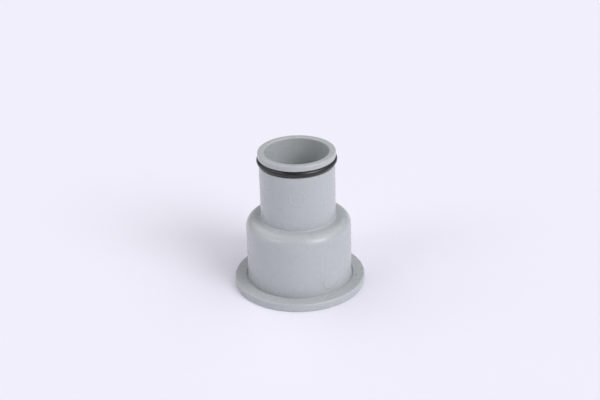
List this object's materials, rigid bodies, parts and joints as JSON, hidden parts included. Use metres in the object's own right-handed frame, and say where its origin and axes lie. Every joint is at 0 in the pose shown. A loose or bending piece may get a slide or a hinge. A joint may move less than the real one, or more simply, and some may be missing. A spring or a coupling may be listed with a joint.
{
  "type": "hose adapter",
  "caption": "Stepped round hose adapter: a spigot with a collar and black rubber ring above a wider socket drum with a large rounded shoulder, standing on a thin flat flange.",
  "frame": {"origin": "centre of the flange's flat underside, on the axis of the bores", "axes": "+Z along the axis, from the flange up to the mouth of the spigot; X and Y are equal, as the part is turned about Z"},
  "size_m": [0.0564, 0.0564, 0.0611],
  "materials": {
    "grey_plastic": "satin moulded",
    "black_rubber": "smooth black"
  },
  "bodies": {
    "root": {"adapter_body": "grey_plastic", "o_ring": "black_rubber"}
  },
  "joints": []
}
